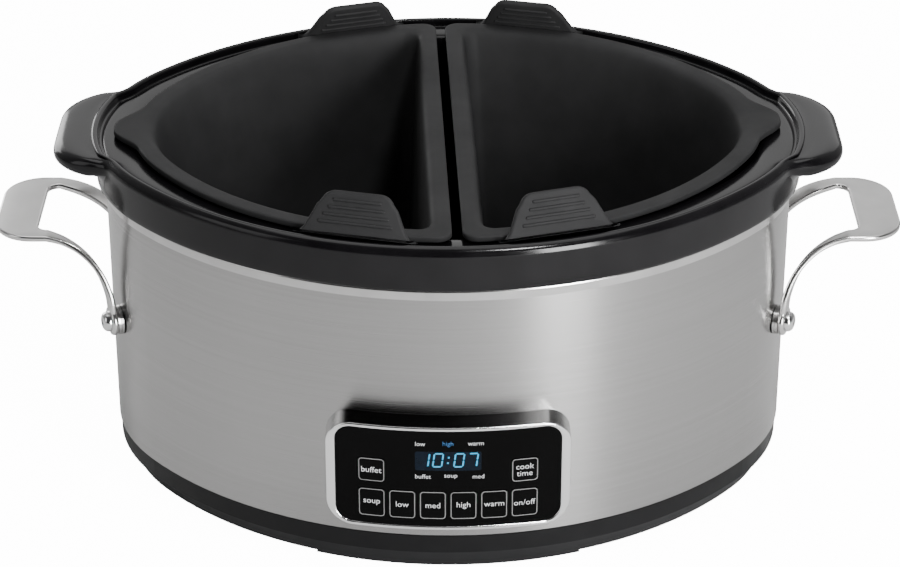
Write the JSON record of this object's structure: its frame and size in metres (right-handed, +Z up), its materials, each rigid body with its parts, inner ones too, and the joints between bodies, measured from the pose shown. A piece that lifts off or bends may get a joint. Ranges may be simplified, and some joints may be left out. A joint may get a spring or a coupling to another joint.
{
  "type": "slow cooker",
  "caption": "Oval slow cooker with a steel wall, glazed crock, divided silicone liners, loop handles and a framed key panel with a display.",
  "frame": {"origin": "centre of the footprint on the surface that the feet stand on", "axes": "+Z up, +X to the right of a person who faces the control panel, -Y towards that person"},
  "size_m": [0.456, 0.294, 0.1995],
  "materials": {
    "wrap_steel": "brushed round the wall, satin",
    "trim_steel": "polished",
    "base_plastic": "fine moulded texture",
    "foot_rubber": "matte",
    "shield_metal": "mill finish",
    "zinc_steel": "zinc plated",
    "well_aluminium": "spun, satin",
    "heater_mica": "mica sheet with resistance wire",
    "blanket_fibre": "glass fibre wool",
    "sensor_brass": "plain",
    "board_laminate": "solder mask",
    "component_plastic": "plain",
    "bezel_chrome": "polished",
    "panel_gloss": "piano black",
    "key_gloss": "piano black with grey outline and symbol",
    "display_lens": "smoked lens",
    "lamp_lens": "frosted",
    "tray_plastic": "moulded",
    "handle_steel": "bead blasted top, polished edges",
    "screw_chrome": "polished",
    "gland_plastic": "moulded",
    "crock_glaze": "gloss black glaze",
    "liner_silicone": "matte silicone"
  },
  "bodies": {
    "housing": {"steel_wrap": "wrap_steel", "top_trim_ring": "trim_steel", "base_pan": "base_plastic", "rubber_feet": "foot_rubber", "heat_shield": "shield_metal", "support_posts": "shield_metal", "base_screws": "zinc_steel", "heating_well": "well_aluminium", "heater_band": "heater_mica", "insulation_blanket": "blanket_fibre", "temperature_sensor": "sensor_brass", "thermal_fuse": "zinc_steel", "power_board": "board_laminate", "power_parts": "component_plastic", "panel_bezel": "bezel_chrome", "panel_face": "panel_gloss", "display_window": "display_lens", "indicator_lamps": "lamp_lens", "panel_housing": "tray_plastic", "control_board": "board_laminate", "display_module": "component_plastic", "tact_switches": "component_plastic", "handle_left": "handle_steel", "handle_right": "handle_steel", "handle_bosses": "handle_steel", "handle_screws": "screw_chrome", "handle_nuts": "zinc_steel", "backing_plates": "zinc_steel", "cord_gland": "gland_plastic"},
    "crock": {"crock": "crock_glaze"},
    "liner_left": {"liner_left": "liner_silicone"},
    "liner_right": {"liner_right": "liner_silicone"},
    "key_soup": {"key_soup": "key_gloss"},
    "key_low": {"key_low": "key_gloss"},
    "key_medium": {"key_medium": "key_gloss"},
    "key_high": {"key_high": "key_gloss"},
    "key_warm": {"key_warm": "key_gloss"},
    "key_power": {"key_power": "key_gloss"},
    "key_buffet": {"key_buffet": "key_gloss"},
    "key_timer": {"key_timer": "key_gloss"}
  },
  "joints": [
    {"name": "crock_lift", "type": "slide", "parent": "housing", "child": "crock", "axis": [0, 0, 1], "range_m": [0, 0.16]},
    {"name": "liner_left_lift", "type": "slide", "parent": "crock", "child": "liner_left", "axis": [0, 0, 1], "range_m": [0, 0.16]},
    {"name": "liner_right_lift", "type": "slide", "parent": "crock", "child": "liner_right", "axis": [0, 0, 1], "range_m": [0, 0.16]},
    {"name": "key_soup_press", "type": "slide", "parent": "housing", "child": "key_soup", "axis": [0, 1, 0], "range_m": [0, 0.0005], "stiffness_N_per_m": 1000, "springref_m": -0.0005},
    {"name": "key_low_press", "type": "slide", "parent": "housing", "child": "key_low", "axis": [0, 1, 0], "range_m": [0, 0.0005], "stiffness_N_per_m": 1000, "springref_m": -0.0005},
    {"name": "key_medium_press", "type": "slide", "parent": "housing", "child": "key_medium", "axis": [0, 1, 0], "range_m": [0, 0.0005], "stiffness_N_per_m": 1000, "springref_m": -0.0005},
    {"name": "key_high_press", "type": "slide", "parent": "housing", "child": "key_high", "axis": [0, 1, 0], "range_m": [0, 0.0005], "stiffness_N_per_m": 1000, "springref_m": -0.0005},
    {"name": "key_warm_press", "type": "slide", "parent": "housing", "child": "key_warm", "axis": [0, 1, 0], "range_m": [0, 0.0005], "stiffness_N_per_m": 1000, "springref_m": -0.0005},
    {"name": "key_power_press", "type": "slide", "parent": "housing", "child": "key_power", "axis": [0, 1, 0], "range_m": [0, 0.0005], "stiffness_N_per_m": 1000, "springref_m": -0.0005},
    {"name": "key_buffet_press", "type": "slide", "parent": "housing", "child": "key_buffet", "axis": [0, 1, 0], "range_m": [0, 0.0005], "stiffness_N_per_m": 1000, "springref_m": -0.0005},
    {"name": "key_timer_press", "type": "slide", "parent": "housing", "child": "key_timer", "axis": [0, 1, 0], "range_m": [0, 0.0005], "stiffness_N_per_m": 1000, "springref_m": -0.0005}
  ]
}
